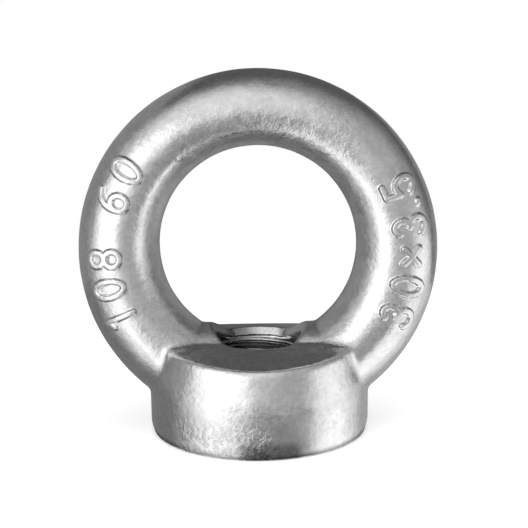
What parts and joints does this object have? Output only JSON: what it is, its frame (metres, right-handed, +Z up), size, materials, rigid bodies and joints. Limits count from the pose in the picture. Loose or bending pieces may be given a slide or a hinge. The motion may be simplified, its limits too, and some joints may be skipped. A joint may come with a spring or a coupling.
{
  "type": "lifting eye nut",
  "caption": "Drop-forged lifting eye nut: an upright carrying ring on a round foot with a threaded through bore.",
  "frame": {"origin": "middle of the flat underside, on the axis of the threaded bore", "axes": "+Z up along the bore axis from the underside to the top of the ring; the ring stands in the XZ plane and its eye is looked through along Y"},
  "size_m": [0.108, 0.067, 0.1087],
  "materials": {
    "forging": "zinc plated over a slightly uneven forged skin, satin"
  },
  "bodies": {
    "root": {"eye_nut": "forging"}
  },
  "joints": []
}
